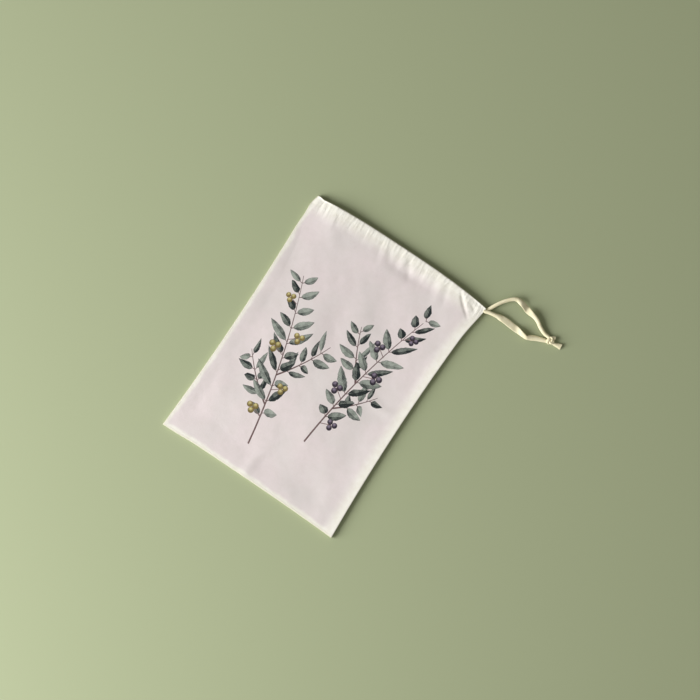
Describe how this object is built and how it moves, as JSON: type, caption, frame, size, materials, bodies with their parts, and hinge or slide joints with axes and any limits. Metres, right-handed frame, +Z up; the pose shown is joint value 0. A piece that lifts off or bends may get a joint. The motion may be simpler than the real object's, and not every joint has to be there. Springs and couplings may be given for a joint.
{
  "type": "drawstring organizer bag",
  "caption": "Flat drawstring storage bag of printed cotton, with a narrow sewn casing and a flat tape that leaves it at one corner and is tied in a small knot.",
  "frame": {"origin": "under the middle of the bag's cloth, on the surface that it lies on", "axes": "+X across the bag, towards the corner where the tape leaves; +Y from the closed bottom to the mouth with the casing; +Z up, out of the printed front"},
  "size_m": [0.4347, 0.4555, 0.0096],
  "materials": {
    "printed_cotton": "matte woven cotton, pale pinkish-grey printed ground",
    "plain_cotton": "matte woven cotton, unbleached cream",
    "tape_cotton": "flat herringbone cotton tape, cream"
  },
  "bodies": {
    "root": {"back_panel": "plain_cotton", "front_panel": "printed_cotton", "drawstring_run": "tape_cotton", "tie_strand_a": "tape_cotton", "tie_strand_b": "tape_cotton", "tie_knot": "tape_cotton"}
  },
  "joints": []
}
